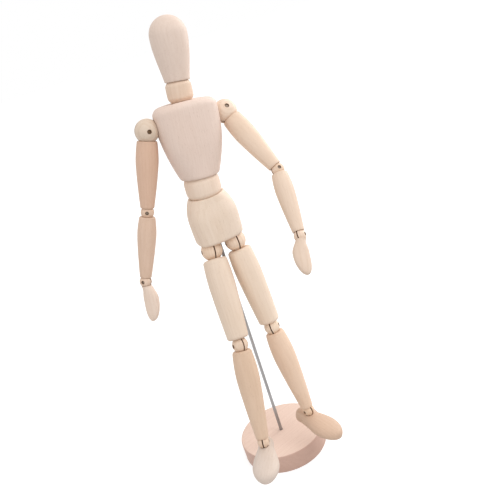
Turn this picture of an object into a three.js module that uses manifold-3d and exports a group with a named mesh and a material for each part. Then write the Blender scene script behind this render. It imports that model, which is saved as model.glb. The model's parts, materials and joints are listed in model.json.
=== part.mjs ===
// A jointed wooden drawing mannequin, held by a steel rod above a round wooden base.
// Sizes are in millimetres and angles in degrees. The figure faces -Y and its left side is at +X.
// Every limb joint is a wooden ball with a saw cut, a steel pin across the cut and a wire eye of
// each neighbour on the pin. Springs in the bored limbs keep the eyes tight.
import * as THREE from 'three';
import { mergeVertices } from 'three/addons/utils/BufferGeometryUtils.js';
import Module from 'manifold-3d';

const wasm = await Module();
wasm.setup();

// Clearances
const clearance = 0.3;
const capEdge = 0.3;

// Stand
const baseRadius = 32.5;
const baseHeight = 14.5;
const baseEdge = 0.7;
const baseSocketDepth = 11;
const rodRadius = 1.2;
const pelvisSocketDepth = 14;
const rodInset = 0.9;
const rodSetback = 1.6;
const pelvisLift = 181.6;

// Trunk, neck and head
const pelvisHeight = 32.5;
const pelvisHalfWidth = 16.9;
const pelvisTopRadius = 12.3;
const pelvisHalfDepth = 12.2;
const pelvisEdge = 2.4;
const pelvisForward = 1.2;
const waistHeight = 12.7;
const waistSeatRadius = 12.6;
const waistRadius = 12.1;
const chestHeight = 50.3;
const chestHalfWidth = 21.2;
const chestBottomRadius = 12.9;
const chestHalfDepth = 13.4;
const chestShoulderHeight = 40;
const chestForward = 1.8;
const chestBottomEdge = 1.3;
const chestTopEdge = 4.8;
const chestCrown = 1.4;
const chestCrownStart = 25;
const neckHeight = 12.5;
const neckSeatRadius = 9.3;
const neckRadius = 8.5;
const headLength = 40.8;
const headRadius = 12.2;
const headWidestHeight = 28.5;
const headBottomRadius = 8.2;
const trunkBoreRadius = 2.6;
const trunkSpringRadius = 1.9;
const headBoreDepth = 12;
const chestBoreDepth = 12;
const pelvisBoreDepth = 8;

// Where a limb is thickest, as a share of its length from the top
const bellyShare = 0.3;

// Arms
const shoulderSpan = 26.9;
const shoulderHeight = 37.2;
const shoulderBoreRadius = 2;
const neckBoreFloor = 2.25; // Wood between the neck's bore and the shoulders' bore
const shoulderSpringLength = 30;
const shoulderBallRadius = 8;
const shoulderSeat = 6.2;
const upperArmLength = 52.5;
const upperArmTopRadius = 6.5;
const upperArmBellyRadius = 7.4;
const upperArmEndRadius = 4.5;
const upperArmEdge = 0.7;
const upperArmEndEdge = 0.4;
const elbowBallRadius = 4.4;
const elbowSeat = 2.9;
const forearmLength = 47;
const forearmTopRadius = 5.3;
const forearmBellyRadius = 6.3;
const forearmEndRadius = 3.9;
const forearmEdge = 0.8;
const forearmEndEdge = 0.3;
const wristBallRadius = 4.1;
const wristSeat = 3;
const handLength = 27.8;
const handHalfWidth = 5.4;
const handRootRadius = 3.45;
const handThickness = 5.8;
const handThumbShift = 1.6;
const armBoreRadius = 1.7;
const armSpringRadius = 1.3;

// Legs
const hipSpan = 9;
const hipForward = 3;
const hipDrop = 5;
const hipBallRadius = 7.4;
const hipSeat = 6.4;
const hipBoreRadius = 2.3;
const hipBoreDepth = 9;
const thighLength = 67;
const thighTopRadius = 8.3;
const thighBellyRadius = 9.2;
const thighEndRadius = 7.3;
const thighEdge = 1.9;
const thighEndEdge = 1.8;
const kneeBallRadius = 5.5;
const kneeSeat = 4;
const shankLength = 68.6;
const shankTopRadius = 6.5;
const shankBellyRadius = 8;
const shankEndRadius = 4.3;
const shankEdge = 1.5;
const shankEndEdge = 0.4;
const ankleBallRadius = 4.2;
const ankleSeat = 2.7;
const legBoreRadius = 2.2;
const legSpringRadius = 1.8;
const footToeReach = 28.4;
const footHeelReach = 12.4;
const footHalfWidth = 9.2;
const footHeelHalfWidth = 5.1;
const footHeelHeight = 9.4;
const footToeHeight = 7.2;

// Saw cuts, pins and wire eyes
const sawCut = 1;
const sawWeb = 1.6;
const largePinRadius = 1.1;
const smallPinRadius = 0.85;
const pinRecess = 0.7;
const wireRadius = 0.15;
const springGap = 2;
const screwGap = 0.6;
const screwRadius = 0.7;
const handScrewLength = 8;
const footScrewLength = 3.4;

// The pose at rest: how far each joint is turned from a straight stance
const chestTurn = [-3.4, 5.2, -2.4];
const waistTurn = [-1.7, 2.6, -1.2];
const neckTurn = [-0.3, 1.5, 0];
const headTurn = [-0.7, 3, 0];
const pose = {
  right: {
    shoulderSwing: -1.3,
    armSpread: 14.7,
    elbowTwist: -14.9,
    elbowBend: -1.7,
    wristTwist: -24.7,
    wristBend: 14.5,
    handTurn: 0,
    hipSplay: 8.5,
    thighSwing: 23.5,
    kneeTwist: 9.6,
    kneeBend: 7.4,
    ankleTwist: -36.8,
    footDrop: 17.6,
  },
  left: {
    shoulderSwing: 29.2,
    armSpread: 21.1,
    elbowTwist: 2,
    elbowBend: 25.2,
    wristTwist: 46.5,
    wristBend: 16.5,
    handTurn: -55,
    hipSplay: 1.5,
    thighSwing: 13.7,
    kneeTwist: -29.4,
    kneeBend: 2.4,
    ankleTwist: 48.2,
    footDrop: 18,
  },
};

// Facets round each form
const trunkSides = 24;
const legSides = 16;
const armSides = 14;
const ballSides = 12;

const paleWood = new THREE.Color('#e6d0c0');
const warmWood = new THREE.Color('#e2c6a6');
const pinkWood = new THREE.Color('#e4c3b0');
const steel = new THREE.Color('#9c9a97');

const finishes = {
  pale: { color: paleWood, roughness: 0.62, metalness: 0 },
  warm: { color: warmWood, roughness: 0.6, metalness: 0 },
  pink: { color: pinkWood, roughness: 0.65, metalness: 0 },
  steel: { color: steel, roughness: 0.32, metalness: 1 },
};

// Turns a list of [radius, height] round the Z axis.
function turned(profile, sides) {
  const points = profile.map(([radius, height]) => new THREE.Vector2(radius, height));
  return new THREE.LatheGeometry(points, sides).rotateX(Math.PI / 2);
}

// Points of a circle about the axis, from one angle to another, measured from +Z.
function arc(radius, from, to, steps, centre = 0) {
  return Array.from({ length: steps + 1 }, (_, i) => {
    const angle = from + ((to - from) * i) / steps;
    return [radius * Math.sin(angle), centre + radius * Math.cos(angle)];
  });
}

// Runs a round section along a smooth curve through the points.
function tube(points, radius, sides, steps) {
  const corners = Array.from({ length: sides }, (_, i) => {
    const angle = (2 * Math.PI * i) / sides;
    return new THREE.Vector2(radius * Math.cos(angle), radius * Math.sin(angle));
  });
  const path = new THREE.CatmullRomCurve3(points.map((point) => new THREE.Vector3(...point)));
  return solid(new THREE.ExtrudeGeometry(new THREE.Shape(corners), { extrudePath: path, steps }));
}

// Makes a closed surface ready for joining and cutting.
function solid(geometry) {
  const shell = geometry.clone();
  shell.deleteAttribute('normal');
  shell.deleteAttribute('uv');
  const merged = mergeVertices(shell, 1e-5);
  const corners = merged.index.array;
  const kept = [];
  for (let i = 0; i < corners.length; i += 3) {
    const [a, b, c] = corners.slice(i, i + 3);
    if (a !== b && b !== c && c !== a) {
      kept.push(a, b, c);
    }
  }
  return new wasm.Manifold(new wasm.Mesh({
    numProp: 3,
    vertProperties: new Float32Array(merged.attributes.position.array),
    triVerts: new Uint32Array(kept),
  }));
}

function surface(body) {
  const { vertProperties, triVerts } = body.getMesh();
  const geometry = new THREE.BufferGeometry();
  geometry.setAttribute('position', new THREE.BufferAttribute(vertProperties, 3));
  geometry.setIndex(new THREE.BufferAttribute(triVerts, 1));
  geometry.computeVertexNormals();
  return geometry;
}

function frame(parent, position, turn = [0, 0, 0]) {
  const group = new THREE.Group();
  const [x, y, z] = turn.map(THREE.MathUtils.degToRad);
  group.position.set(...position);
  group.rotation.set(x, y, z, 'ZXY');
  parent.add(group);
  return group;
}

function piece(parent, name, body, finish) {
  const mesh = new THREE.Mesh(surface(body), new THREE.MeshStandardMaterial(finishes[finish]));
  mesh.name = name;
  parent.add(mesh);
}

function sphere(radius, centre, sides) {
  const profile = arc(radius, Math.PI, 0, Math.round(sides / 2));
  return solid(turned(profile, sides).translate(...centre));
}

// A straight round bar or hole between two points.
function drill(radius, from, to, sides = 12) {
  const start = new THREE.Vector3(...from);
  const end = new THREE.Vector3(...to);
  const along = end.clone().sub(start);
  const geometry = new THREE.CylinderGeometry(radius, radius, along.length(), sides);
  const turn = new THREE.Quaternion().setFromUnitVectors(new THREE.Vector3(0, 1, 0), along.normalize());
  const middle = start.lerp(end, 0.5);
  return solid(geometry.applyQuaternion(turn).translate(middle.x, middle.y, middle.z));
}

// A block of changing section: each ring's half width, half depth and squareness come from its height.
function carved(heights, sides, section) {
  const first = heights[0];
  const last = heights[heights.length - 1];
  const profile = [[0, first], ...heights.map((height) => [1, height]), [0, last]];
  const geometry = turned(profile, sides);
  const position = geometry.attributes.position;
  for (let i = 0; i < position.count; i += 1) {
    const [x, y, z] = [position.getX(i), position.getY(i), position.getZ(i)];
    const { halfWidth, halfDepth, power = 2, shiftX = 0, shiftY = 0 } = section(z);
    const size = Math.hypot(x, y);
    const bulge = size > 0.5 ? (Math.abs(x) ** power + Math.abs(y) ** power) ** (-1 / power) : 0;
    position.setXYZ(i, x * bulge * halfWidth + shiftX, y * bulge * halfDepth + shiftY, z);
  }
  return solid(geometry);
}

// How far a rounded edge draws in at a distance from the face that it ends on.
function edgeInset(edge, distance) {
  return distance < edge ? edge - Math.sqrt(Math.max(0, edge ** 2 - (edge - distance) ** 2)) : 0;
}

function clamp(value) {
  return Math.min(1, Math.max(0, value));
}

// Rises from 0 to 1, fast at first and level at the end.
function swell(value, power) {
  return Math.sin((Math.PI / 2) * clamp(value)) ** power;
}

function easeInOut(value) {
  const t = clamp(value);
  return t * t * (3 - 2 * t);
}

// Falls from 1 to 0 as a quarter of an oval.
function rounding(value, power = 2) {
  return Math.sqrt(1 - clamp(value) ** power);
}

// Ring heights between two faces, closer together on the rounded edges.
function ringHeights(bottom, top, bottomEdge, topEdge, between) {
  const rise = [0, 0.3, 1].map((share) => bottom + bottomEdge * share);
  const fall = [1, 0.4, 0.1, 0].map((share) => top - topEdge * share);
  const low = bottom + bottomEdge;
  const step = (top - topEdge - low) / (between + 1);
  const middle = Array.from({ length: between }, (_, i) => low + step * (i + 1));
  return [...rise, ...middle, ...fall];
}

// A turned limb between two ball seats, bored right through. It hangs down from the upper ball's centre.
function limb({ length, topRadius, bellyRadius, endRadius, edge, endEdge, upper, lower, bore, sides }) {
  const upperCup = upper.radius + clearance;
  const lowerCup = lower.radius + clearance;
  const top = -upper.seat;
  const end = -(length - lower.seat);
  const radiusAt = (z) => {
    const share = (top - z) / (top - end);
    const up = share < bellyShare;
    const along = up ? 1 - share / bellyShare : (share - bellyShare) / (1 - bellyShare);
    const target = up ? topRadius : endRadius;
    const body = bellyRadius + (target - bellyRadius) * along ** (up ? 2 : 1.35);
    return body - edgeInset(endEdge, z - end) - edgeInset(edge, top - z);
  };
  const shares = [0.2, 0.42, 0.62, 0.8];
  const heights = [
    end,
    end + endEdge * 0.3,
    end + endEdge,
    ...shares.map((share) => end + share * (top - end)),
    top - edge,
    top - edge * 0.3,
    top,
  ];
  const profile = [
    ...arc(lowerCup, Math.asin(bore / lowerCup), Math.acos(lower.seat / lowerCup), 2, -length),
    ...heights.map((z) => [radiusAt(z), z]),
    ...arc(upperCup, Math.PI - Math.acos(upper.seat / upperCup), Math.PI - Math.asin(bore / upperCup), 2),
  ];
  return solid(turned([...profile, profile[0]], sides));
}

// A ball with a saw cut from its front, across the middle, to a web at its back. The pin lies along X.
function sawnBall({ radius, pin }) {
  const cut = new THREE.BoxGeometry(sawCut, 2 * radius - sawWeb + 1, 2 * radius + 2);
  cut.translate(0, -(sawWeb + 1) / 2, 0);
  const reach = radius + 1;
  return sphere(radius, [0, 0, 0], ballSides)
    .subtract(solid(cut))
    .subtract(drill(pin + clearance, [-reach, 0, 0], [reach, 0, 0], 8));
}

function crossPin({ radius, pin }) {
  const half = Math.sqrt(radius ** 2 - (pin + clearance) ** 2) - pinRecess;
  return drill(pin, [-half, 0, 0], [half, 0, 0], 8);
}

// A wire eye round a pin along X. Two eyes share a saw cut, each in its own lane.
const eyeLane = sawCut / 4;
function eye(pin, lane) {
  const ring = new THREE.TorusGeometry(pin + clearance + wireRadius, wireRadius, 4, 9);
  return solid(ring.rotateY(Math.PI / 2).translate(lane, 0, 0));
}

// A wound spring in a limb, with a wire eye at each end. The turns are the pins' angles round the limb.
function limbSpring({ length, upper, lower, springRadius, upperTurn, lowerTurn }) {
  const top = -(upper.radius + clearance + springGap);
  const end = -(length - lower.radius - clearance - springGap);
  const upperRing = -upper.pin - clearance - wireRadius;
  const lowerRing = lower.pin + clearance + wireRadius;
  const upperWire = drill(wireRadius, [-eyeLane, 0, upperRing], [-eyeLane, 0, top - 1], 5);
  const lowerWire = drill(wireRadius, [eyeLane, 0, lowerRing], [eyeLane, 0, length + end + 1], 5);
  const upperEnd = eye(upper.pin, -eyeLane).add(upperWire).rotate([0, 0, upperTurn]);
  const lowerEye = eye(lower.pin, eyeLane).add(lowerWire);
  const lowerEnd = lowerEye.rotate([0, 0, lowerTurn]).translate([0, 0, -length]);
  return drill(springRadius, [0, 0, end], [0, 0, top], 8).add(upperEnd).add(lowerEnd);
}

// A screw eye: its ring is on a ball's pin and its screw is in the piece below.
function screwEye({ radius, pin }, screwLength, turn) {
  const top = -(radius + clearance + screwGap);
  return eye(pin, -eyeLane)
    .add(drill(wireRadius, [-eyeLane, 0, -pin - clearance - wireRadius], [-eyeLane, 0, top - 0.5], 5))
    .add(drill(screwRadius, [0, 0, top - screwLength], [0, 0, top], 8))
    .rotate([0, 0, turn]);
}

function screwHole({ radius, seat }, screwLength) {
  const floor = -(radius + clearance + screwGap + screwLength + clearance);
  return drill(screwRadius + clearance, [0, 0, floor], [0, 0, -seat], 10);
}

const shoulder = { radius: shoulderBallRadius, seat: shoulderSeat, pin: largePinRadius };
const elbow = { radius: elbowBallRadius, seat: elbowSeat, pin: smallPinRadius };
const wrist = { radius: wristBallRadius, seat: wristSeat, pin: smallPinRadius };
const hip = { radius: hipBallRadius, seat: hipSeat, pin: largePinRadius };
const knee = { radius: kneeBallRadius, seat: kneeSeat, pin: largePinRadius };
const ankle = { radius: ankleBallRadius, seat: ankleSeat, pin: smallPinRadius };

const waistCup = waistSeatRadius + clearance;
const neckCup = neckSeatRadius + clearance;
const waistCentre = pelvisHeight + waistHeight / 2;
const neckCentre = chestHeight + neckHeight / 2;
const waistDepthInPelvis = waistCup - waistHeight / 2;
const neckDepthInChest = neckCup - neckHeight / 2;
const neckBoreBottom = shoulderHeight + shoulderBoreRadius + neckBoreFloor;
const neckBoreDepth = chestHeight - neckDepthInChest - neckBoreBottom;
const rodFoot = baseHeight - baseSocketDepth + clearance;
const rodTop = pelvisLift + pelvisSocketDepth - clearance;

function makeBase() {
  const hole = rodRadius + clearance;
  const side = [
    ...arc(baseEdge, Math.PI, Math.PI / 2, 2, baseEdge),
    ...arc(baseEdge, Math.PI / 2, 0, 2, baseHeight - baseEdge),
  ].map(([inset, height]) => [baseRadius - baseEdge + inset, height]);
  const socketFloor = baseHeight - baseSocketDepth;
  return solid(turned([[0, 0], ...side, [hole, baseHeight], [hole, socketFloor], [0, socketFloor]], 36));
}

function makePelvis() {
  const widestBelowTop = 16;
  const section = (z) => {
    const down = pelvisHeight - z;
    const grow = swell(down / widestBelowTop, 0.8);
    const fall = 0.6 * Math.max(0, (down - widestBelowTop) / (pelvisHeight - widestBelowTop)) ** 2;
    const inset = edgeInset(pelvisEdge, z) + edgeInset(capEdge, down);
    return {
      halfWidth: pelvisTopRadius + (pelvisHalfWidth - pelvisTopRadius) * grow - fall - inset,
      halfDepth: pelvisHalfDepth - fall - inset,
      power: 2 + 0.9 * grow,
      shiftY: -pelvisForward * easeInOut(down / widestBelowTop),
    };
  };
  const heights = ringHeights(0, pelvisHeight, pelvisEdge, capEdge, 5);
  const waistBore = pelvisHeight - waistDepthInPelvis - pelvisBoreDepth;
  let body = carved(heights, trunkSides, section)
    .subtract(sphere(waistCup, [0, 0, waistCentre], 24))
    .subtract(drill(trunkBoreRadius, [0, 0, waistBore], [0, 0, pelvisHeight]))
    .subtract(
      drill(rodRadius + clearance, [-rodInset, rodSetback, -1], [-rodInset, rodSetback, pelvisSocketDepth]),
    );
  [-1, 1].forEach((side) => {
    const centre = [side * hipSpan, -hipForward, -hipDrop];
    const boreTop = hip.radius + clearance - hipDrop + hipBoreDepth;
    body = body
      .subtract(sphere(hip.radius + clearance, centre, 20))
      .subtract(drill(hipBoreRadius, [centre[0], centre[1], 0], [centre[0], centre[1], boreTop]));
  });
  return body;
}

function makeWaist() {
  const half = waistHeight / 2;
  const rim = Math.acos(half / waistSeatRadius);
  const bore = Math.asin(trunkBoreRadius / waistSeatRadius);
  const barrel = [-0.6, 0, 0.6].map((share) => {
    const height = share * half;
    const radius = waistRadius * (1 - 0.03 * share ** 2);
    return [Math.min(radius, Math.sqrt(waistSeatRadius ** 2 - height ** 2)), height];
  });
  const profile = [
    ...arc(waistSeatRadius, Math.PI - bore, Math.PI - rim, 2),
    ...barrel,
    ...arc(waistSeatRadius, rim, bore, 2),
  ];
  return solid(turned([...profile, profile[0]], 24));
}

function makeChest() {
  const section = (z) => {
    const rise = clamp(z / chestShoulderHeight);
    const grow = swell(rise, 0.9);
    const inset = edgeInset(chestBottomEdge, z) + edgeInset(chestTopEdge, chestHeight - z);
    return {
      halfWidth: chestBottomRadius + (chestHalfWidth - chestBottomRadius) * grow - inset,
      halfDepth: chestBottomRadius + (chestHalfDepth - chestBottomRadius) * grow - inset,
      power: 2 + 0.8 * (1 - (1 - rise) ** 3),
      shiftY: -chestForward * easeInOut(z / chestShoulderHeight * 1.6),
    };
  };
  const heights = ringHeights(0, chestHeight, chestBottomEdge, chestTopEdge, 5);
  const waistBore = waistDepthInPelvis + chestBoreDepth;
  const boreEnd = shoulderSpan - shoulder.radius;
  const crown = (point) => {
    const nearTop = easeInOut((point[2] - chestCrownStart) / (chestHeight - chestCrownStart));
    point[2] -= chestCrown * (point[0] / chestHalfWidth) ** 2 * nearTop;
  };
  let body = carved(heights, trunkSides, section)
    .warp(crown)
    .subtract(sphere(waistCup, [0, 0, -waistHeight / 2], 24))
    .subtract(sphere(neckCup, [0, 0, neckCentre], 20))
    .subtract(drill(trunkBoreRadius, [0, 0, 0], [0, 0, waistBore]))
    .subtract(drill(trunkBoreRadius, [0, 0, neckBoreBottom], [0, 0, chestHeight]))
    .subtract(drill(shoulderBoreRadius, [-boreEnd, 0, shoulderHeight], [boreEnd, 0, shoulderHeight]));
  [-1, 1].forEach((side) => {
    body = body.subtract(sphere(shoulder.radius + clearance, [side * shoulderSpan, 0, shoulderHeight], 20));
  });
  return body;
}

function makeNeck() {
  const half = neckHeight / 2;
  const rim = Math.acos(half / neckSeatRadius);
  const bore = Math.asin(trunkBoreRadius / neckSeatRadius);
  const barrel = [-0.6, 0, 0.6].map((share) => {
    const height = share * half;
    const radius = neckRadius * (1 - 0.03 * share ** 2);
    return [Math.min(radius, Math.sqrt(neckSeatRadius ** 2 - height ** 2)), height];
  });
  const profile = [
    ...arc(neckSeatRadius, Math.PI - bore, Math.PI - rim, 2),
    ...barrel,
    ...arc(neckSeatRadius, rim, bore, 2),
  ];
  return solid(turned([...profile, profile[0]], 20));
}

// The head is an egg on a straight taper. It stands on the neck's upper seat.
function makeHead() {
  const half = neckHeight / 2;
  const rim = Math.acos(half / neckCup);
  const bore = Math.asin(trunkBoreRadius / neckCup);
  const boreTop = neckCup + headBoreDepth;
  const jaw = [0, 0.04, 0.3, 0.6, 0.82].map((share) => {
    const grow = swell(share, 1.2);
    const radius = headBottomRadius + (headRadius - headBottomRadius) * grow;
    return [radius - (share === 0 ? capEdge : 0), half + share * headWidestHeight];
  });
  const crownHeight = headLength - headWidestHeight;
  const crown = arc(1, Math.PI / 2, 0, 7).map(([across, up]) => [
    across * headRadius,
    half + headWidestHeight + up * crownHeight,
  ]);
  const profile = [
    ...jaw,
    ...crown,
    [0, boreTop],
    [trunkBoreRadius, boreTop],
    ...arc(neckCup, bore, rim, 3),
    jaw[0],
  ];
  return solid(turned(profile, 20));
}

// A flat mitten: narrow at the wrist, widest above its middle, fuller on the thumb side. Its own screw
// sets how far it is turned from the pin.
function makeHand(inward, turn) {
  const top = -wrist.seat;
  const tip = -handLength;
  const section = (z) => {
    const share = clamp((top - z) / (top - tip));
    const closing = rounding((share - 0.4) / 0.6, 2.3);
    const width = handRootRadius + (handHalfWidth - handRootRadius) * easeInOut(share / 0.36);
    const thick = handRootRadius + (handThickness / 2 - handRootRadius) * easeInOut(share / 0.5);
    return {
      halfWidth: Math.max(width * closing, 1),
      halfDepth: Math.max(thick * closing ** 0.6, 0.8),
      power: 2 + 0.5 * easeInOut(share / 0.4),
      shiftX: inward * handThumbShift * Math.sin(Math.PI * share ** 0.75),
    };
  };
  const shares = [1, 0.985, 0.93, 0.82, 0.66, 0.46, 0.3, 0.14, 0];
  return carved(shares.map((share) => top + (tip - top) * share), 14, section)
    .rotate([0, 0, turn])
    .subtract(sphere(wrist.radius + clearance, [0, 0, 0], 14))
    .subtract(screwHole(wrist, handScrewLength));
}

// A shoe-last foot: narrow heel, broad round toe and flat sole. It points along -Y from the ankle.
function makeFoot() {
  const length = footHeelReach + footToeReach;
  const section = (z) => {
    const share = clamp(z / length);
    const closing = Math.max(rounding((0.12 - share) / 0.12, 2.4) * rounding((share - 0.66) / 0.34), 0.1);
    const width = footHeelHalfWidth + (footHalfWidth - footHeelHalfWidth) * easeInOut((share - 0.12) / 0.56);
    const height = footHeelHeight + (footToeHeight - footHeelHeight) * easeInOut((share - 0.34) / 0.56);
    const above = height * closing ** 0.5;
    return {
      halfWidth: width * closing,
      halfDepth: above * 0.62,
      power: 2.2,
      shiftY: above * 0.38,
    };
  };
  const shares = [0, 0.012, 0.05, 0.12, 0.28, 0.5, 0.68, 0.82, 0.93, 0.985, 1];
  return carved(shares.map((share) => share * length), 16, section)
    .rotate([90, 0, 0])
    .trimByPlane([0, 0, 1], 0)
    .translate([0, footHeelReach, -(ankle.seat + footHeelHeight)])
    .subtract(sphere(ankle.radius + clearance, [0, 0, 0], 14))
    .subtract(screwHole(ankle, footScrewLength));
}

// A spring through the middle of a ball seat, bent where the piece above leans.
function seatSpring(below, above, turn) {
  const lean = new THREE.Euler(...turn.map(THREE.MathUtils.degToRad), 'ZXY');
  const tip = new THREE.Vector3(0, 0, above).applyEuler(lean);
  return tube([[0, 0, -below], [0, 0, 0], tip.toArray()], trunkSpringRadius, 8, 6);
}

// The spring across the chest. Its eyes are on the pins of the two shoulder balls.
function makeShoulderSpring() {
  const end = shoulderSpringLength / 2;
  let body = drill(armSpringRadius, [-end, 0, 0], [end, 0, 0], 8);
  [['right', -1], ['left', 1]].forEach(([name, side]) => {
    const ring = shoulder.pin + clearance + wireRadius;
    const wireEnds = [end - 1, shoulderSpan - ring].map((reach) => [side * reach, eyeLane, 0]);
    const wire = drill(wireRadius, wireEnds[0], wireEnds[1], 5);
    const loop = eye(shoulder.pin, eyeLane).rotate([0, 0, 90]).translate([side * shoulderSpan, 0, 0]);
    body = body.add(loop.add(wire).rotate([-pose[name].shoulderSwing, 0, 0]));
  });
  return body;
}

// A hip's eye follows the tilted ball. The wire then bends into the upright bore of the pelvis.
function makeHipLink(tilt) {
  const lean = new THREE.Euler(0, THREE.MathUtils.degToRad(tilt), 0);
  const inBall = (x, z) => new THREE.Vector3(x, 0, z).applyEuler(lean).toArray();
  const start = hip.radius + clearance + springGap;
  const end = hip.radius + hipBoreDepth;
  const ring = hip.pin + clearance + wireRadius;
  const throughBall = [ring, hip.radius * 0.6, hip.radius].map((reach) => inBall(eyeLane, reach));
  const wire = [...throughBall, [0, 0, start + 1]];
  return eye(hip.pin, eyeLane)
    .rotate([0, tilt, 0])
    .add(tube(wire, wireRadius, 5, 8))
    .add(drill(legSpringRadius, [0, 0, start], [0, 0, end], 8));
}

const figure = new THREE.Group();
figure.name = 'drawing_mannequin';

piece(figure, 'base', makeBase(), 'pink');
piece(figure, 'support_rod', drill(rodRadius, [0, 0, rodFoot], [0, 0, rodTop], 12), 'steel');

const pelvisFrame = frame(figure, [rodInset, -rodSetback, pelvisLift]);
const waistSpringBelow = waistCup + pelvisBoreDepth - 2 * clearance;
const waistSpringAbove = waistCup + chestBoreDepth - 2 * clearance;
piece(pelvisFrame, 'pelvis', makePelvis(), 'warm');
piece(frame(pelvisFrame, [0, 0, waistCentre], waistTurn), 'waist', makeWaist(), 'warm');
piece(
  frame(pelvisFrame, [0, 0, waistCentre]),
  'waist_spring',
  seatSpring(waistSpringBelow, waistSpringAbove, chestTurn),
  'steel',
);

const chestFrame = frame(frame(pelvisFrame, [0, 0, waistCentre], chestTurn), [0, 0, waistHeight / 2]);
const neckSpringBelow = neckCup + neckBoreDepth - 2 * clearance;
const neckSpringAbove = neckCup + headBoreDepth - 2 * clearance;
piece(chestFrame, 'chest', makeChest(), 'pale');
piece(frame(chestFrame, [0, 0, shoulderHeight]), 'shoulder_spring', makeShoulderSpring(), 'steel');
piece(frame(chestFrame, [0, 0, neckCentre], neckTurn), 'neck', makeNeck(), 'warm');
piece(
  frame(chestFrame, [0, 0, neckCentre]),
  'neck_spring',
  seatSpring(neckSpringBelow, neckSpringAbove, headTurn),
  'steel',
);
piece(frame(chestFrame, [0, 0, neckCentre], headTurn), 'head', makeHead(), 'pale');

const upperArm = {
  length: upperArmLength,
  topRadius: upperArmTopRadius,
  bellyRadius: upperArmBellyRadius,
  endRadius: upperArmEndRadius,
  edge: upperArmEdge,
  endEdge: upperArmEndEdge,
  upper: shoulder,
  lower: elbow,
  bore: armBoreRadius,
  springRadius: armSpringRadius,
  sides: armSides,
};
const forearm = {
  length: forearmLength,
  topRadius: forearmTopRadius,
  bellyRadius: forearmBellyRadius,
  endRadius: forearmEndRadius,
  edge: forearmEdge,
  endEdge: forearmEndEdge,
  upper: elbow,
  lower: wrist,
  bore: armBoreRadius,
  springRadius: armSpringRadius,
  sides: armSides,
};
const thigh = {
  length: thighLength,
  topRadius: thighTopRadius,
  bellyRadius: thighBellyRadius,
  endRadius: thighEndRadius,
  edge: thighEdge,
  endEdge: thighEndEdge,
  upper: hip,
  lower: knee,
  bore: legBoreRadius,
  springRadius: legSpringRadius,
  sides: legSides,
};
const shank = {
  length: shankLength,
  topRadius: shankTopRadius,
  bellyRadius: shankBellyRadius,
  endRadius: shankEndRadius,
  edge: shankEdge,
  endEdge: shankEndEdge,
  upper: knee,
  lower: ankle,
  bore: legBoreRadius,
  springRadius: legSpringRadius,
  sides: legSides,
};

// Each limb has its spring, and each ball its pin. Pins of the arms lie along Y and of the legs along X.
function addLimb(parent, name, shape, upperTurn, lowerTurn) {
  piece(parent, name, limb(shape), 'warm');
  piece(parent, `${name}_spring`, limbSpring({ ...shape, upperTurn, lowerTurn }), 'steel');
}

function addBall(parent, name, ball, ballTurn, pinTurn) {
  piece(parent, `${name}_ball`, sawnBall(ball).rotate(ballTurn), 'warm');
  piece(parent, `${name}_pin`, crossPin(ball).rotate(pinTurn), 'steel');
}

const quarterTurn = 90;

[['right', -1], ['left', 1]].forEach(([name, side]) => {
  const rest = pose[name];
  const acrossArm = [0, 0, quarterTurn];
  const openInward = [0, 0, -quarterTurn * side];

  const shoulderAt = [side * shoulderSpan, 0, shoulderHeight];
  const shoulderFrame = frame(chestFrame, shoulderAt, [-rest.shoulderSwing, 0, 0]);
  const upperArmFrame = frame(shoulderFrame, [0, 0, 0], [0, -side * rest.armSpread, 0]);
  const elbowFrame = frame(upperArmFrame, [0, 0, -upperArmLength], [0, 0, rest.elbowTwist]);
  const forearmFrame = frame(elbowFrame, [0, 0, 0], [0, side * rest.elbowBend, 0]);
  const wristFrame = frame(forearmFrame, [0, 0, -forearmLength], [0, 0, rest.wristTwist]);
  const handFrame = frame(wristFrame, [0, 0, 0], [0, side * rest.wristBend, 0]);
  addBall(shoulderFrame, `${name}_shoulder`, shoulder, [quarterTurn, 0, quarterTurn], acrossArm);
  addLimb(upperArmFrame, `${name}_upper_arm`, upperArm, quarterTurn, quarterTurn + rest.elbowTwist);
  addBall(elbowFrame, `${name}_elbow`, elbow, openInward, acrossArm);
  addLimb(forearmFrame, `${name}_forearm`, forearm, quarterTurn, quarterTurn + rest.wristTwist);
  addBall(wristFrame, `${name}_wrist`, wrist, openInward, acrossArm);
  piece(handFrame, `${name}_hand`, makeHand(-side, rest.handTurn), 'warm');
  piece(handFrame, `${name}_hand_eye`, screwEye(wrist, handScrewLength, quarterTurn), 'steel');

  const hipSocketFrame = frame(pelvisFrame, [side * hipSpan, -hipForward, -hipDrop]);
  const hipFrame = frame(hipSocketFrame, [0, 0, 0], [0, -side * rest.hipSplay, 0]);
  const thighFrame = frame(hipFrame, [0, 0, 0], [-rest.thighSwing, 0, 0]);
  const kneeFrame = frame(thighFrame, [0, 0, -thighLength], [0, 0, rest.kneeTwist]);
  const shankFrame = frame(kneeFrame, [0, 0, 0], [rest.kneeBend, 0, 0]);
  const ankleFrame = frame(shankFrame, [0, 0, -shankLength], [0, 0, rest.ankleTwist]);
  const footFrame = frame(ankleFrame, [0, 0, 0], [rest.footDrop, 0, 0]);
  piece(hipSocketFrame, `${name}_hip_link`, makeHipLink(-side * rest.hipSplay), 'steel');
  addBall(hipFrame, `${name}_hip`, hip, [0, 0, 0], [0, 0, 0]);
  addLimb(thighFrame, `${name}_thigh`, thigh, 0, rest.kneeTwist);
  addBall(kneeFrame, `${name}_knee`, knee, [0, 0, 0], [0, 0, 0]);
  addLimb(shankFrame, `${name}_shank`, shank, 0, rest.ankleTwist);
  addBall(ankleFrame, `${name}_ankle`, ankle, [0, 0, 0], [0, 0, 0]);
  piece(footFrame, `${name}_foot`, makeFoot(), 'warm');
  piece(footFrame, `${name}_foot_eye`, screwEye(ankle, footScrewLength, 0), 'steel');
});

export default figure;
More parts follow.
